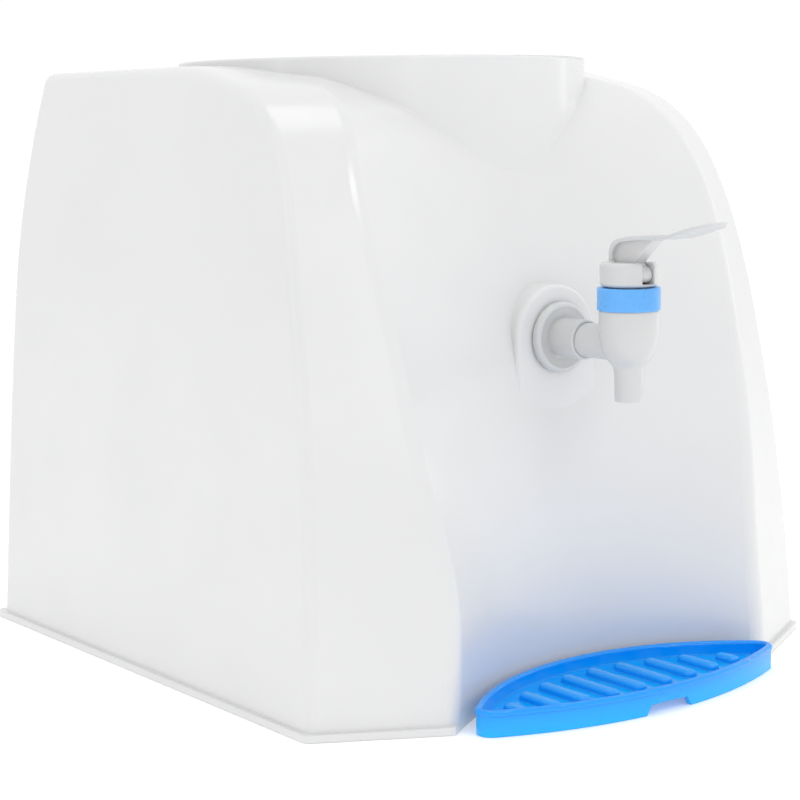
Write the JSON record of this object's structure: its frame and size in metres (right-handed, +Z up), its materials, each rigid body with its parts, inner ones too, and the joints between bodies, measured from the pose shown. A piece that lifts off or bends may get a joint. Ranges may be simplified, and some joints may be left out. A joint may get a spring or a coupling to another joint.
{
  "type": "countertop water dispenser",
  "caption": "White countertop bottled-water dispenser: hollow moulded housing, bottle collar with funnel seat, lever tap on a stem, inner reservoir and a lift-out drip tray.",
  "frame": {"origin": "on the counter, at the middle of the overall footprint: x = 0 is the plane of symmetry and y = 0 is halfway from the lever's tip to the back of the foot lip", "axes": "+Z up, +Y towards the back of the dispenser, -Y towards the user, +X to the right as seen by the user facing the tap"},
  "size_m": [0.304, 0.3838, 0.289],
  "materials": {
    "white_shell": "satin-gloss white injection-moulded plastic",
    "natural_plastic": "natural food-grade polypropylene",
    "seat_plastic": "white food-grade plastic",
    "silicone": "soft translucent silicone",
    "screw_steel": "zinc-plated steel",
    "pin_steel": "stainless steel",
    "tap_plastic": "slightly translucent off-white plastic",
    "ring_blue": "light blue plastic",
    "tray_blue": "glossy blue plastic"
  },
  "bodies": {
    "base": {"housing_shell": "white_shell", "reservoir_tank": "natural_plastic", "tank_lid": "natural_plastic", "neck_seal": "silicone", "tank_screws": "screw_steel", "tap_body": "tap_plastic", "tap_escutcheon": "tap_plastic", "front_washer": "silicone", "boss_gasket": "silicone", "tank_washer": "silicone", "tap_lock_nut": "tap_plastic", "bonnet_ring": "ring_blue", "bonnet": "tap_plastic", "lever_pin": "pin_steel"},
    "seat": {"bottle_seat": "seat_plastic", "guide_column": "seat_plastic"},
    "tap_lever": {"lever": "tap_plastic"},
    "valve": {"valve_rod": "tap_plastic", "link_pin": "pin_steel", "valve_stopper": "silicone", "valve_spring": "pin_steel", "valve_diaphragm": "silicone"},
    "tray": {"drip_tray": "tray_blue"}
  },
  "joints": [
    {"name": "lever_hinge", "type": "hinge", "parent": "base", "child": "tap_lever", "pos_m": [0, -0.143, 0.1915], "axis": [1, 0, 0], "range_deg": [0, 18], "stiffness_Nm_per_rad": 0.5},
    {"name": "valve_lift", "type": "slide", "parent": "base", "child": "valve", "axis": [0, 0, 1], "range_m": [0, 0.00236], "deforming": ["valve_spring", "valve_diaphragm"]},
    {"name": "seat_lift", "type": "slide", "parent": "base", "child": "seat", "axis": [0, 0, 1], "range_m": [0, 0.15]},
    {"name": "tray_pull", "type": "slide", "parent": "base", "child": "tray", "axis": [0, -1, 0], "range_m": [0, 0.12]}
  ],
  "couplings": [
    {"joint": "valve_lift", "follows": "lever_hinge", "m_per_rad": 0.0075}
  ]
}
